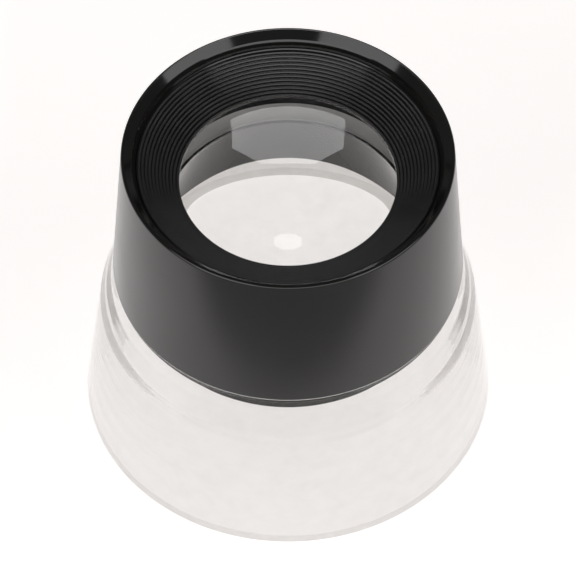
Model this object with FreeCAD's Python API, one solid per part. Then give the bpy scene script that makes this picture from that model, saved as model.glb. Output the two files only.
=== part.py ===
import FreeCAD, Part
import math
import os

# Stand magnifier for film and prints. Every piece is a body of revolution about Z.
# Millimetres, +Z up, origin at the centre of the base's resting plane.
# The head (barrel, eyepiece ring, lens tube) screws on the neck of the clear skirt;
# the thread is left out and the barrel runs on the plain neck.

# Clear skirt: a hollow cone that turns in at a break to a collar as wide as the barrel's
# foot, closed by a flat seat with a neck for the barrel
BASE_RADIUS = 25.0
WALL = 1.9
BREAK_RADIUS = 22.85
BREAK_Z = 17.2
BREAK_FILLET = 3.0
COLLAR_FOOT_RADIUS = 21.45
COLLAR_FOOT_Z = 21.6
COLLAR_FILLET = 2.5
COLLAR_RADIUS = 21.1
COLLAR_EDGE = 0.05
SEAT_Z = 24.0
CEILING_Z = 23.0
CEILING_RADIUS = 19.5
CEILING_FILLET = 1.0
INNER_FILLET = 2.0
NECK_RADIUS = 19.0
NECK_TOP_Z = 30.0
EDGE_BREAK = 0.2

# Clearance all round between pieces that turn or slide on each other
RUN = 0.06

# Lens tube: slides in the neck, with a wider head held in the barrel; its foot is
# bevelled inside and out to a narrow tip
TUBE_RADIUS = 16.4
TUBE_HEAD_RADIUS = 17.9
TUBE_FOOT_Z = 16.2
FOOT_BEVEL = 1.5
TUBE_HEAD_Z = 32.0
TUBE_TOP_Z = 38.9
POCKET_RADIUS = 15.1
BORE_RADIUS = 14.4
BORE_FOOT_Z = 17.2
FOOT_TIP_RADIUS = 15.1

# Barrel: tapered outer shell, 0.05 above the seat when screwed right down
BARREL_FOOT_RADIUS = 21.15
BARREL_FOOT_Z = SEAT_Z + 0.05
BARREL_EDGE = 0.1
BARREL_LIP_RADIUS = 19.72
TOP_Z = 44.1
LIP_EDGE = 0.35
LIP_WIDTH = 0.4
RIM_BEND_RADIUS = 18.45
RIM_BEND_Z = 43.25
RIM_BEND_FILLET = 0.5
RIM_FOOT_Z = 42.4
BARREL_SHELF_Z = 30.4

# Eyepiece ring: funnel of fine steps down to the aperture
RING_TOP_Z = 42.4
APERTURE_RADIUS = 12.9
APERTURE_Z = 39.45
STEP_COUNT = 12
STEP_TREAD = 0.72
RING_EDGE = 0.12

# Lens: one thick acrylic magnifier, 30 mm across, nearly flat on top and bulging
# below, focal length about 68
LENS_RADIUS = 15.0
LENS_BEVEL = 0.25
LENS_TOP_Z = 38.3
LENS_FOOT_Z = 26.8
TOP_CURVE = 120.0
FOOT_CURVE = 44.0

# Retaining ring that holds the lens down in its pocket
RETAINER_INNER_RADIUS = 14.0
RETAINER_RADIUS = 15.05


def vector(point):
    return FreeCAD.Vector(point[0], 0, point[1])


def revolve(points):
    """Solid of revolution from a closed outline of (radius, z) points.

    ("arc", middle, end) in the list bends the edge that leads to end.
    """
    edges = []
    start = points[0]
    for item in points[1:] + [points[0]]:
        if item[0] == "arc":
            end = item[2]
            edges.append(Part.Arc(vector(start), vector(item[1]), vector(end)).toShape())
        else:
            end = item
            edges.append(Part.LineSegment(vector(start), vector(end)).toShape())
        start = end
    face = Part.Face(Part.Wire(edges))
    return face.revolve(FreeCAD.Vector(0, 0, 0), FreeCAD.Vector(0, 0, 1), 360)


def circles(shape, *places):
    """The circular edges of a shape at the given (radius, z) places."""
    found = []
    for edge in shape.Edges:
        curve = edge.Curve
        if not isinstance(curve, Part.Circle):
            continue
        for radius, z in places:
            if abs(curve.Radius - radius) < 1e-4 and abs(curve.Center.z - z) < 1e-4:
                found.append(edge)
    return found


def sag(curvature_radius, radius):
    return curvature_radius - math.sqrt(curvature_radius ** 2 - radius ** 2)


def face_z(edge_z, curve, side, radius):
    """Height at a radius of a lens face that bulges up (side 1) or down (side -1)."""
    return edge_z + side * (sag(curve, LENS_RADIUS - LENS_BEVEL) - sag(curve, radius))


def dome(edge_z, curve, side):
    """Apex, middle and outer end of the arc that a lens face makes from the axis out."""
    outer = LENS_RADIUS - LENS_BEVEL
    return [(radius, face_z(edge_z, curve, side, radius)) for radius in (0, outer / 2, outer)]


def skirt():
    solid = revolve([
        (BASE_RADIUS, 0),
        (BREAK_RADIUS, BREAK_Z),
        (COLLAR_FOOT_RADIUS, COLLAR_FOOT_Z),
        (COLLAR_RADIUS, SEAT_Z),
        (NECK_RADIUS, SEAT_Z),
        (NECK_RADIUS, NECK_TOP_Z),
        (TUBE_RADIUS + RUN, NECK_TOP_Z),
        (TUBE_RADIUS + RUN, CEILING_Z),
        (CEILING_RADIUS, CEILING_Z),
        (BREAK_RADIUS - WALL, BREAK_Z),
        (BASE_RADIUS - WALL, 0),
    ])
    for size, places in (
        (BREAK_FILLET, [(BREAK_RADIUS, BREAK_Z)]),
        (COLLAR_FILLET, [(COLLAR_FOOT_RADIUS, COLLAR_FOOT_Z)]),
        (COLLAR_EDGE, [(COLLAR_RADIUS, SEAT_Z)]),
        (INNER_FILLET, [(BREAK_RADIUS - WALL, BREAK_Z)]),
        (CEILING_FILLET, [(CEILING_RADIUS, CEILING_Z)]),
        (EDGE_BREAK, [(BASE_RADIUS, 0), (BASE_RADIUS - WALL, 0), (NECK_RADIUS, NECK_TOP_Z)]),
    ):
        solid = solid.makeFillet(size, circles(solid, *places))
    return solid


def barrel():
    solid = revolve([
        (NECK_RADIUS + RUN, BARREL_FOOT_Z),
        (BARREL_FOOT_RADIUS, BARREL_FOOT_Z),
        (BARREL_LIP_RADIUS, TOP_Z),
        (BARREL_LIP_RADIUS - LIP_WIDTH, TOP_Z),
        (RIM_BEND_RADIUS, RIM_BEND_Z),
        (TUBE_HEAD_RADIUS + RUN, RIM_FOOT_Z),
        (TUBE_HEAD_RADIUS + RUN, TUBE_HEAD_Z - RUN),
        (TUBE_RADIUS + RUN, TUBE_HEAD_Z - RUN),
        (TUBE_RADIUS + RUN, BARREL_SHELF_Z),
        (NECK_RADIUS + RUN, BARREL_SHELF_Z),
    ])
    solid = solid.makeFillet(RIM_BEND_FILLET, circles(solid, (RIM_BEND_RADIUS, RIM_BEND_Z)))
    solid = solid.makeFillet(LIP_EDGE, circles(solid, (BARREL_LIP_RADIUS, TOP_Z)))
    return solid.makeFillet(BARREL_EDGE, circles(solid, (BARREL_FOOT_RADIUS, BARREL_FOOT_Z)))


def funnel_steps(outer_radius):
    """Treads and risers down from the ring's top edge to the aperture."""
    pitch = (outer_radius - APERTURE_RADIUS) / STEP_COUNT
    drop = (RING_TOP_Z - APERTURE_Z) / STEP_COUNT
    points = []
    for step in range(STEP_COUNT):
        radius = outer_radius - step * pitch
        z = RING_TOP_Z - step * drop
        points.append((radius, z))
        points.append((radius - pitch * (1 - STEP_TREAD), z - drop))
    points.append((APERTURE_RADIUS, APERTURE_Z))
    return points


def eyepiece_ring():
    outer = TUBE_HEAD_RADIUS + RUN
    foot_z = TUBE_TOP_Z + RUN
    return revolve(
        [(APERTURE_RADIUS, foot_z), (outer, foot_z), (outer, RING_TOP_Z - RING_EDGE)]
        + funnel_steps(outer - RING_EDGE))


def lens_tube():
    seat_z = face_z(LENS_FOOT_Z, FOOT_CURVE, -1, BORE_RADIUS)
    return revolve([
        (FOOT_TIP_RADIUS, TUBE_FOOT_Z),
        (TUBE_RADIUS, TUBE_FOOT_Z + FOOT_BEVEL),
        (TUBE_RADIUS, TUBE_HEAD_Z),
        (TUBE_HEAD_RADIUS, TUBE_HEAD_Z),
        (TUBE_HEAD_RADIUS, TUBE_TOP_Z),
        (POCKET_RADIUS, TUBE_TOP_Z),
        (POCKET_RADIUS, seat_z),
        (BORE_RADIUS, seat_z),
        (BORE_RADIUS, BORE_FOOT_Z),
    ])


def lens():
    apex, middle, end = dome(LENS_TOP_Z, TOP_CURVE, 1)
    foot_apex, foot_middle, foot_end = dome(LENS_FOOT_Z, FOOT_CURVE, -1)
    return revolve([
        apex,
        ("arc", middle, end),
        (LENS_RADIUS, LENS_TOP_Z - LENS_BEVEL),
        (LENS_RADIUS, LENS_FOOT_Z + LENS_BEVEL),
        foot_end,
        ("arc", foot_middle, foot_apex),
    ])


def retaining_ring():
    foot_z = face_z(LENS_TOP_Z, TOP_CURVE, 1, RETAINER_INNER_RADIUS)
    return revolve([
        (RETAINER_INNER_RADIUS, foot_z),
        (RETAINER_RADIUS, foot_z),
        (RETAINER_RADIUS, TUBE_TOP_Z),
        (RETAINER_INNER_RADIUS, TUBE_TOP_Z),
    ])


PIECES = {
    "skirt": skirt,
    "barrel": barrel,
    "eyepiece_ring": eyepiece_ring,
    "lens_tube": lens_tube,
    "lens": lens,
    "retaining_ring": retaining_ring,
}

os.makedirs("parts", exist_ok=True)
for name, make in PIECES.items():
    make().exportStep(f"parts/{name}.step")
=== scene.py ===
import math

import bmesh
import bpy
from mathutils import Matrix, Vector

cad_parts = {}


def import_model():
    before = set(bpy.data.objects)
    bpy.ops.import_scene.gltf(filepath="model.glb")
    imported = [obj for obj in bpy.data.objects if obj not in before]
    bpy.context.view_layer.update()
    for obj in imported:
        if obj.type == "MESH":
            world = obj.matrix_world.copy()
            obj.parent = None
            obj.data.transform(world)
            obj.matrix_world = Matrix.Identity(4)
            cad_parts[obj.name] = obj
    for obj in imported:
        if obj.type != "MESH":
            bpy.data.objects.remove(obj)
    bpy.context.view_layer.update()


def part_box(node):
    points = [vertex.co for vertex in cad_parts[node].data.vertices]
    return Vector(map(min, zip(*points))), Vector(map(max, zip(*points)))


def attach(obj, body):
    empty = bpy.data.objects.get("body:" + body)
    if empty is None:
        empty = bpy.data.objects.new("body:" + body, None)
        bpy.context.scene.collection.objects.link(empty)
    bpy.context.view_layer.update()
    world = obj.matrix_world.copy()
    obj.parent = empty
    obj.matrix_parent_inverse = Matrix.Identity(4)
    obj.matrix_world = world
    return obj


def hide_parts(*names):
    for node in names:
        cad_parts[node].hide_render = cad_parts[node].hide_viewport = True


# Stand loupe. Every visible piece is turned about Z from an outline in millimetres,
# finer than the CAD mesh, so that clear parts refract smoothly.

MM = 0.001
SEGMENTS = 384             # round each piece
SHARP = math.radians(32)   # edges sharper than this are not smoothed


# ---------------------------------------------------------------- frame
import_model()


def reach(node):
    """Outer radius, foot height and top height of a CAD node, in millimetres."""
    low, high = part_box(node)
    return high[0] / MM, low[2] / MM, high[2] / MM


BASE_R, _, NECK_TOP = reach("skirt")
BARREL_R, BARREL_FOOT, TOP = reach("barrel")
RING_R, RING_FOOT, RING_TOP = reach("eyepiece_ring")
TUBE_HEAD_R, TUBE_FOOT, TUBE_TOP = reach("lens_tube")
LENS_R, _, _ = reach("lens")

RUN = 0.06                 # running clearance
EDGE = 0.2                 # broken edges

# Skirt
SEAT_Z = 24.0
BREAK_R = 22.85
BREAK_Z = 17.2
BREAK_FILLET = 3.0
COLLAR_FOOT_R = 21.45
COLLAR_FOOT_Z = 21.6
COLLAR_R = 21.1
COLLAR_FILLET = 2.5
COLLAR_EDGE = 0.05
WALL = 1.9
CEILING_R = 19.5
CEILING_Z = 23.0
CEILING_FILLET = 1.0
INNER_FILLET = 2.0
NECK_R = 19.0
FOOT_SCUFF = 0.03          # height of the rubbed face it stands on

# Lens tube
TUBE_R = 16.4
TUBE_HEAD_Z = 32.0
POCKET_R = 15.1
BORE_R = 14.4
BORE_FOOT_Z = 17.2
FOOT_TIP_R = 15.1
FOOT_BEVEL = 1.5

# Barrel
LIP_R = 19.72
LIP_EDGE = 0.35
LIP_WIDTH = 0.4
RIM_BEND_R = 18.45
RIM_BEND_Z = 43.25
RIM_BEND_FILLET = 0.5
BARREL_EDGE = 0.1
RIM_FOOT_Z = 42.4
SHELF_Z = 30.4

# Eyepiece ring
APERTURE_R = 12.9
APERTURE_Z = 39.45
STEPS = 12
TREAD = 0.72
RING_EDGE = 0.12
RIDGE_TIP = 0.05           # rounding of each step's edge
FLAT_END = 0.03            # strips at a tread's ends that keep its middle shaded flat

# Lens and its retaining ring
ACRYLIC_INDEX = 1.49
BEVEL = 0.25
LENS_TOP_Z = 38.3
LENS_FOOT_Z = 26.8
TOP_CURVE = 120.0
FOOT_CURVE = 44.0
EDGE_SHADE_Z = 32.4        # painted shade: the edge is painted black above this height, where it lies in shade, and left ground grey below
RETAINER_INNER_R = 14.0
RETAINER_R = 15.05


# ---------------------------------------------------------------- outlines
def fillet(before, corner, after, size, count=10):
    """Points of the arc of that radius that rounds the corner."""
    a = (Vector(before) - Vector(corner)).normalized()
    b = (Vector(after) - Vector(corner)).normalized()
    half = a.angle(b) / 2
    centre = Vector(corner) + (a + b).normalized() * size / math.sin(half)
    start = Vector(corner) + a * size / math.tan(half) - centre
    end = Vector(corner) + b * size / math.tan(half) - centre
    sweep = start.angle(end)
    points = []
    for i in range(count + 1):
        t = i / count
        arm = (start * math.sin((1 - t) * sweep) + end * math.sin(t * sweep)) / math.sin(sweep)
        points.append(tuple(centre + arm))
    return points


def rounded(corners, count=10):
    """Closed outline from (radius, z) corners; a third value rounds that corner."""
    points = []
    total = len(corners)
    for i, corner in enumerate(corners):
        if len(corner) == 2:
            points.append(corner)
            continue
        points += fillet(corners[i - 1][:2], corner[:2], corners[(i + 1) % total][:2], corner[2], count)
    return points


def sag(curve, radius):
    return curve - math.sqrt(curve * curve - radius * radius)


def face_z(edge_z, curve, side, radius):
    """Height of a lens face at a radius: side 1 bulges up, -1 down."""
    return edge_z + side * (sag(curve, LENS_R - BEVEL) - sag(curve, radius))


def dome(edge_z, curve, side, count=28):
    """Lens face from the axis out to its bevel."""
    radii = [(LENS_R - BEVEL) * i / count for i in range(count + 1)]
    return [(r, face_z(edge_z, curve, side, r)) for r in radii]


def turned(name, outline, material, body, node, zones=()):
    """A piece turned about Z, riding on a body in place of a CAD node.

    zones holds (material, test) pairs: the faces whose middle radius and height pass the
    test take that material.
    """
    mesh = bpy.data.meshes.new(name)
    count = len(outline)
    verts = []
    for k in range(SEGMENTS):
        angle = 2 * math.pi * k / SEGMENTS
        c, s = math.cos(angle) * MM, math.sin(angle) * MM
        verts += [(r * c, r * s, z * MM) for r, z in outline]
    faces = []
    for k in range(SEGMENTS):
        after = (k + 1) % SEGMENTS
        for i in range(count):
            j = (i + 1) % count
            faces.append((k * count + i, after * count + i, after * count + j, k * count + j))
    mesh.from_pydata(verts, [], faces)
    work = bmesh.new()
    work.from_mesh(mesh)
    bmesh.ops.remove_doubles(work, verts=work.verts, dist=1e-7)
    bmesh.ops.dissolve_degenerate(work, edges=work.edges, dist=1e-8)
    bmesh.ops.recalc_face_normals(work, faces=work.faces)
    work.to_mesh(mesh)
    work.free()
    mesh.materials.append(material)
    mesh.polygons.foreach_set("use_smooth", [True] * len(mesh.polygons))
    mesh.set_sharp_from_angle(angle=SHARP)
    for finish, test in zones:
        mesh.materials.append(finish)
        for face in mesh.polygons:
            if test(math.hypot(face.center.x, face.center.y) / MM, face.center.z / MM):
                face.material_index = len(mesh.materials) - 1
    piece = bpy.data.objects.new(name, mesh)
    bpy.context.scene.collection.objects.link(piece)
    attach(piece, body)
    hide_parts(node)


# ---------------------------------------------------------------- materials
WALL_COLOUR = (0.1, 0.07, 0.05)        # what the clear wall keeps of light on a long path
RING_STRETCH = (5, 5, 480)             # mould rings: long round the wall, short up it


def new_material(name):
    material = bpy.data.materials.new(name)
    material.use_nodes = True
    return material, material.node_tree, material.node_tree.nodes["Principled BSDF"]


def add(tree, kind, **values):
    node = tree.nodes.new(kind)
    for key, value in values.items():
        if key in node.inputs:
            node.inputs[key].default_value = value
        else:
            setattr(node, key, value)
    return node


def noise(tree, scale, detail=4.0, rough=0.6, stretch=(1, 1, 1)):
    place = add(tree, "ShaderNodeTexCoord")
    stretched = add(tree, "ShaderNodeMapping")
    stretched.inputs["Scale"].default_value = stretch
    texture = add(tree, "ShaderNodeTexNoise", Scale=scale, Detail=detail, Roughness=rough)
    tree.links.new(place.outputs["Object"], stretched.inputs["Vector"])
    tree.links.new(stretched.outputs["Vector"], texture.inputs["Vector"])
    return texture.outputs["Fac"]


def spread(tree, value, low, high, start=0.3, end=0.7):
    """Maps a texture's start..end onto low..high."""
    node = add(tree, "ShaderNodeMapRange")
    for key, number in (("From Min", start), ("From Max", end), ("To Min", low), ("To Max", high)):
        node.inputs[key].default_value = number
    tree.links.new(value, node.inputs["Value"])
    return node.outputs["Result"]


def bump(tree, value, shader, depth):
    node = add(tree, "ShaderNodeBump", Strength=1.0, Distance=depth)
    tree.links.new(value, node.inputs["Height"])
    tree.links.new(node.outputs["Normal"], shader.inputs["Normal"])


def scaled(tree, colour, factor, socket):
    """Feeds a colour times a factor to a socket."""
    node = add(tree, "ShaderNodeVectorMath", operation="SCALE")
    node.inputs[0].default_value = colour
    tree.links.new(factor, node.inputs["Scale"])
    tree.links.new(node.outputs["Vector"], socket)


def black_plastic(name, colour, rough, grain_depth, grain_scale=2600.0, shine=0.5):
    """Moulded black plastic: fine grain, slight polish changes, a few soft handling marks."""
    material, tree, shader = new_material(name)
    shader.inputs["Specular IOR Level"].default_value = shine
    scaled(tree, colour, spread(tree, noise(tree, 60.0), 0.8, 1.25), shader.inputs["Base Color"])
    tree.links.new(spread(tree, noise(tree, 140.0, 6.0, 0.7), rough * 0.85, rough * 1.2),
                   shader.inputs["Roughness"])
    bump(tree, noise(tree, grain_scale, 3.0), shader, grain_depth)
    return material


def clear(name, index, tint, ripple=0.0, absorb=0.0):
    """Clear solid with a trace of haze, that lets lamp light through to what is under it.

    ripple is the depth of the faint mould rings that run round its walls; absorb darkens
    long paths inside the wall, per metre.
    """
    material, tree, shader = new_material(name)
    haze = spread(tree, noise(tree, 420.0, 8.0, 0.75), 1.01, 0.95, 0.45, 0.75)
    scaled(tree, tint, haze, shader.inputs["Base Color"])
    shader.inputs["Transmission Weight"].default_value = 1.0
    shader.inputs["IOR"].default_value = index
    tree.links.new(spread(tree, noise(tree, 260.0, 8.0, 0.8), 0.0, 0.012, 0.55, 0.8),
                   shader.inputs["Roughness"])
    if ripple:
        bump(tree, noise(tree, 1.0, 2.0, 0.5, RING_STRETCH), shader, ripple)
    path = add(tree, "ShaderNodeLightPath")
    through = add(tree, "ShaderNodeBsdfTransparent")
    either = add(tree, "ShaderNodeMixShader")
    output = tree.nodes["Material Output"]
    tree.links.new(path.outputs["Is Shadow Ray"], either.inputs["Fac"])
    tree.links.new(shader.outputs["BSDF"], either.inputs[1])
    tree.links.new(through.outputs["BSDF"], either.inputs[2])
    tree.links.new(either.outputs["Shader"], output.inputs["Surface"])
    if absorb:
        body = add(tree, "ShaderNodeVolumeAbsorption", Density=absorb)
        body.inputs["Color"].default_value = (*WALL_COLOUR, 1)
        tree.links.new(body.outputs["Volume"], output.inputs["Volume"])
    return material


def frosted(name, tint):
    """Ground face of a clear part, which scatters light both ways."""
    material, tree, shader = new_material(name)
    tree.nodes.remove(shader)
    cloud = spread(tree, noise(tree, 900.0), 0.92, 1.0)
    back = add(tree, "ShaderNodeBsdfDiffuse")
    through = add(tree, "ShaderNodeBsdfTranslucent")
    both = add(tree, "ShaderNodeMixShader")
    for side in (back, through):
        scaled(tree, tint, cloud, side.inputs["Color"])
    both.inputs["Fac"].default_value = 0.5
    tree.links.new(back.outputs["BSDF"], both.inputs[1])
    tree.links.new(through.outputs["BSDF"], both.inputs[2])
    tree.links.new(both.outputs["Shader"], tree.nodes["Material Output"].inputs["Surface"])
    return material


satin = black_plastic("satin_black", (0.008, 0.0075, 0.0078), 0.19, 0.000008, shine=0.45)
polished = black_plastic("polished_black", (0.007, 0.0065, 0.006), 0.09, 0.000001)
funnel_black = black_plastic("funnel_black", (0.006, 0.0055, 0.0055), 0.13, 0.000003)
gloss = black_plastic("gloss_black", (0.03, 0.029, 0.028), 0.1, 0.0000008, 500.0, 0.2)
# the skirt's tint is partly the acrylic's own warm colour and partly painted shade, darkening the table
# seen through the wall as if the head shaded it
acrylic = clear("clear_acrylic", ACRYLIC_INDEX, (0.775, 0.77, 0.765), ripple=0.00003, absorb=26.0)
scuffed = frosted("frosted_acrylic", (0.92, 0.91, 0.9))
# painted shade: the lens edge's upper band, black where it lies in shade; the lower band keeps the
# ground edge's grey
painted_shade_edge = black_plastic("painted_shade_edge", (0.008, 0.008, 0.008), 0.6, 0.00002, shine=0.1)
bare_edge = black_plastic("bare_edge", (0.6, 0.59, 0.58), 0.6, 0.00002, shine=0.1)
# painted shade: the lens's tint is darker than clear acrylic passes, standing in for the shade on the
# table under the tube
lens_clear = clear("lens_acrylic", ACRYLIC_INDEX, (0.835, 0.83, 0.822))


# ---------------------------------------------------------------- pieces
def skirt():
    outline = rounded([
        (BASE_R, 0, EDGE),
        (BREAK_R, BREAK_Z, BREAK_FILLET),
        (COLLAR_FOOT_R, COLLAR_FOOT_Z, COLLAR_FILLET),
        (COLLAR_R, SEAT_Z, COLLAR_EDGE),
        (NECK_R, SEAT_Z),
        (NECK_R, NECK_TOP, EDGE),
        (TUBE_R + RUN, NECK_TOP),
        (TUBE_R + RUN, CEILING_Z),
        (CEILING_R, CEILING_Z, CEILING_FILLET),
        (BREAK_R - WALL, BREAK_Z, INNER_FILLET),
        (BASE_R - WALL, 0, EDGE),
    ], 14)
    turned("skirt_clear", outline, acrylic, "stand", "skirt",
           zones=[(scuffed, lambda r, z: z < FOOT_SCUFF)])


def barrel():
    outline = rounded([
        (NECK_R + RUN, BARREL_FOOT),
        (BARREL_R, BARREL_FOOT, BARREL_EDGE),
        (LIP_R, TOP, LIP_EDGE),
        (LIP_R - LIP_WIDTH, TOP),
        (RIM_BEND_R, RIM_BEND_Z, RIM_BEND_FILLET),
        (TUBE_HEAD_R + RUN, RIM_FOOT_Z),
        (TUBE_HEAD_R + RUN, TUBE_HEAD_Z - RUN),
        (TUBE_R + RUN, TUBE_HEAD_Z - RUN),
        (TUBE_R + RUN, SHELF_Z),
        (NECK_R + RUN, SHELF_Z),
    ])
    turned("barrel_shell", outline, satin, "focus_barrel", "barrel",
           zones=[(polished, lambda r, z: z > (RIM_FOOT_Z if r < LIP_R - LIP_EDGE else TOP - LIP_EDGE))])


def funnel_steps(outer):
    """Treads and risers down from the ring's top edge to the aperture."""
    pitch = (outer - APERTURE_R) / STEPS
    drop = (RING_TOP - APERTURE_Z) / STEPS
    points = []
    for step in range(STEPS):
        r = outer - step * pitch
        z = RING_TOP - step * drop
        corner = r - pitch * (1 - TREAD)
        points += [(r, z, RIDGE_TIP), (corner, z - drop), (corner - FLAT_END, z - drop)]
        points += [(r - pitch + RIDGE_TIP + FLAT_END / 2, z - drop)]
    return points + [(APERTURE_R, APERTURE_Z)]


def eyepiece():
    outline = [(APERTURE_R, RING_FOOT), (RING_R, RING_FOOT), (RING_R, RING_TOP - RING_EDGE)]
    outline = rounded(outline + funnel_steps(RING_R - RING_EDGE), 3)
    turned("eyepiece_funnel", outline, funnel_black, "focus_barrel", "eyepiece_ring")


def lens():
    outline = dome(LENS_TOP_Z, TOP_CURVE, 1)
    outline += [(LENS_R, LENS_TOP_Z - BEVEL), (LENS_R, EDGE_SHADE_Z), (LENS_R, LENS_FOOT_Z + BEVEL)]
    outline += dome(LENS_FOOT_Z, FOOT_CURVE, -1)[::-1]
    # the upper part of the lens edge is painted black as shade, the rest is ground grey
    turned("magnifier", outline, lens_clear, "optics", "lens",
           zones=[(bare_edge, lambda r, z: r > LENS_R - BEVEL),
                  (painted_shade_edge, lambda r, z: r > LENS_R - BEVEL and z > EDGE_SHADE_Z)])


def lens_tube():
    seat_z = face_z(LENS_FOOT_Z, FOOT_CURVE, -1, BORE_R)
    outline = [
        (FOOT_TIP_R, TUBE_FOOT), (TUBE_R, TUBE_FOOT + FOOT_BEVEL),
        (TUBE_R, TUBE_HEAD_Z), (TUBE_HEAD_R, TUBE_HEAD_Z), (TUBE_HEAD_R, TUBE_TOP),
        (POCKET_R, TUBE_TOP), (POCKET_R, seat_z), (BORE_R, seat_z),
        (BORE_R, BORE_FOOT_Z)]
    turned("inner_tube", outline, gloss, "optics", "lens_tube")


def retaining_ring():
    foot_z = face_z(LENS_TOP_Z, TOP_CURVE, 1, RETAINER_INNER_R)
    outline = [(RETAINER_INNER_R, foot_z), (RETAINER_R, foot_z),
               (RETAINER_R, TUBE_TOP), (RETAINER_INNER_R, TUBE_TOP)]
    turned("lens_retainer", outline, gloss, "optics", "retaining_ring")


skirt()
barrel()
eyepiece()
lens()
lens_tube()
retaining_ring()


# ---------------------------------------------------------------- stage
TABLE_COLOUR = (0.7, 0.678, 0.665)
TABLE_GLOW = 0.7
PAINTED_SHADOW_GLOW = 0.05          # painted shadow: the table's glow beyond the front edge of the view, dimmed where the object's shadow would fall, so the barrel's front reflects dark
PAINTED_LEFT_LIGHT = 1.2            # painted light: times the glow beyond the left edge of the view, raised as if a lamp lit that side, so the barrel's left side reflects brighter
# where the painted shadow in front (along Y) and the painted light on the left (along X) fade in, in
# metres
PAINTED_SHADOW_FADE = (-0.050, -0.036)
PAINTED_LIGHT_FADE = (-0.046, -0.036)
ROOM_FRONT = 0.15
ROOM_BACK = 0.12
WINDOW_LIGHT = 3.6
FRONT_LIGHT = 2.4
CARD_LIGHT = 2.6


def floor():
    """Pale light table: part of its light comes from below, so shadows on it stay soft. Its glow is
    dimmed in front of the object, a painted shadow, and raised to its left, a painted pool of light.
    """
    material, tree, shader = new_material("table")
    shader.inputs["Base Color"].default_value = (*TABLE_COLOUR, 1)
    shader.inputs["Roughness"].default_value = 0.9
    shader.inputs["Specular IOR Level"].default_value = 0.1
    shader.inputs["Emission Color"].default_value = (1.0, 0.97, 0.96, 1)
    place = add(tree, "ShaderNodeTexCoord")
    split = add(tree, "ShaderNodeSeparateXYZ")
    tree.links.new(place.outputs["Object"], split.inputs["Vector"])
    # painted shadow: the glow drops in front of the object; painted light: it rises to the left
    front = spread(tree, split.outputs["Y"], PAINTED_SHADOW_GLOW, TABLE_GLOW, *PAINTED_SHADOW_FADE)
    side = spread(tree, split.outputs["X"], PAINTED_LEFT_LIGHT, 1.0, *PAINTED_LIGHT_FADE)
    glow = add(tree, "ShaderNodeMath", operation="MULTIPLY")
    tree.links.new(front, glow.inputs[0])
    tree.links.new(side, glow.inputs[1])
    tree.links.new(glow.outputs["Value"], shader.inputs["Emission Strength"])
    mesh = bpy.data.meshes.new("table")
    mesh.from_pydata([(-3, -3, 0), (3, -3, 0), (3, 3, 0), (-3, 3, 0)], [], [(0, 1, 2, 3)])
    mesh.materials.append(material)
    table = bpy.data.objects.new("table", mesh)
    table.location.z = -0.00002
    bpy.context.scene.collection.objects.link(table)


def softbox(name, azimuth, elevation, distance, size, radiance, cut=0.0):
    """Glowing panel that faces the object, with its corners cut off."""
    a, e = math.radians(azimuth), math.radians(elevation)
    centre = distance * Vector((math.sin(a) * math.cos(e), math.cos(a) * math.cos(e), math.sin(e)))
    x, y = size[0] / 2, size[1] / 2
    outline = [(x - cut, y), (x, y - cut), (x, cut - y), (x - cut, -y),
               (cut - x, -y), (-x, cut - y), (-x, y - cut), (cut - x, y)]
    mesh = bpy.data.meshes.new(name)
    mesh.from_pydata([(u, v, 0) for u, v in outline], [], [tuple(range(8))])
    material = bpy.data.materials.new(name)
    material.use_nodes = True
    tree = material.node_tree
    light = add(tree, "ShaderNodeEmission", Strength=radiance)
    tree.links.new(light.outputs["Emission"], tree.nodes["Material Output"].inputs["Surface"])
    mesh.materials.append(material)
    panel = bpy.data.objects.new(name, mesh)
    panel.location = centre
    panel.rotation_euler = (-centre).to_track_quat("-Z", "Y").to_euler()
    panel.visible_camera = False
    bpy.context.scene.collection.objects.link(panel)


def camera():
    """Long lens, looking down on the object from the front."""
    elevation = math.radians(52.57)
    distance = 0.625
    aim = Vector((0, 0, 0.0183))
    eye = bpy.data.cameras.new("camera")
    eye.sensor_width = 36.0
    eye.lens = 321.1
    eye.clip_start = 0.05
    holder = bpy.data.objects.new("camera", eye)
    holder.location = aim + distance * Vector((0, -math.cos(elevation), math.sin(elevation)))
    holder.rotation_euler = (math.pi / 2 - elevation, 0, 0)
    bpy.context.scene.collection.objects.link(holder)
    bpy.context.scene.camera = holder


def world():
    """Dim room, a little brighter in front of the object than behind it."""
    sky = bpy.data.worlds.new("studio")
    sky.use_nodes = True
    tree = sky.node_tree
    place = add(tree, "ShaderNodeTexCoord")
    split = add(tree, "ShaderNodeSeparateXYZ")
    tree.links.new(place.outputs["Generated"], split.inputs["Vector"])
    level = spread(tree, split.outputs["Y"], ROOM_FRONT, ROOM_BACK, -0.5, 0.1)
    tree.links.new(level, tree.nodes["Background"].inputs["Strength"])
    tree.nodes["Background"].inputs["Color"].default_value = (1, 1, 1, 1)
    bpy.context.scene.world = sky


floor()
softbox("back_softbox", 0, 44.6, 1.0, (0.195, 0.19), WINDOW_LIGHT, 0.05)
softbox("left_softbox", 226, 32, 1.0, (0.85, 0.5), FRONT_LIGHT, 0.1)
softbox("right_softbox", 119, 32, 1.0, (0.72, 0.5), FRONT_LIGHT, 0.1)
softbox("front_card", 180, 18, 1.0, (2.6, 0.4), CARD_LIGHT)
camera()
world()

scene = bpy.context.scene
scene.view_settings.view_transform = "Standard"
scene.cycles.max_bounces = 24
scene.cycles.transmission_bounces = 24
scene.cycles.glossy_bounces = 24
scene.cycles.transparent_max_bounces = 16
